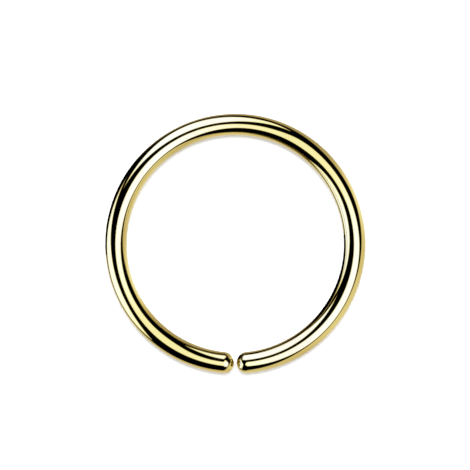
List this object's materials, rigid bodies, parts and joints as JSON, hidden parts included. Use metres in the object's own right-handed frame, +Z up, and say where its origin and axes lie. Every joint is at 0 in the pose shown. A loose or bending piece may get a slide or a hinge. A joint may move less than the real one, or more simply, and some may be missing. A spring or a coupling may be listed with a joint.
{
  "type": "seamless hoop ring",
  "caption": "Plain round-wire hoop with two rounded ends that nearly meet, for a nostril, ear or lip piercing; mirror-polished and gold-coloured.",
  "frame": {"origin": "centre of the hoop, on the plane that it lies on", "axes": "+Z up along the hoop's own axis; the gap between the two ends faces -Y"},
  "size_m": [0.012, 0.012, 0.001],
  "materials": {
    "polished_gold": "mirror-polished gold-coloured plating on steel"
  },
  "bodies": {
    "root": {"hoop_wire": "polished_gold"}
  },
  "joints": []
}
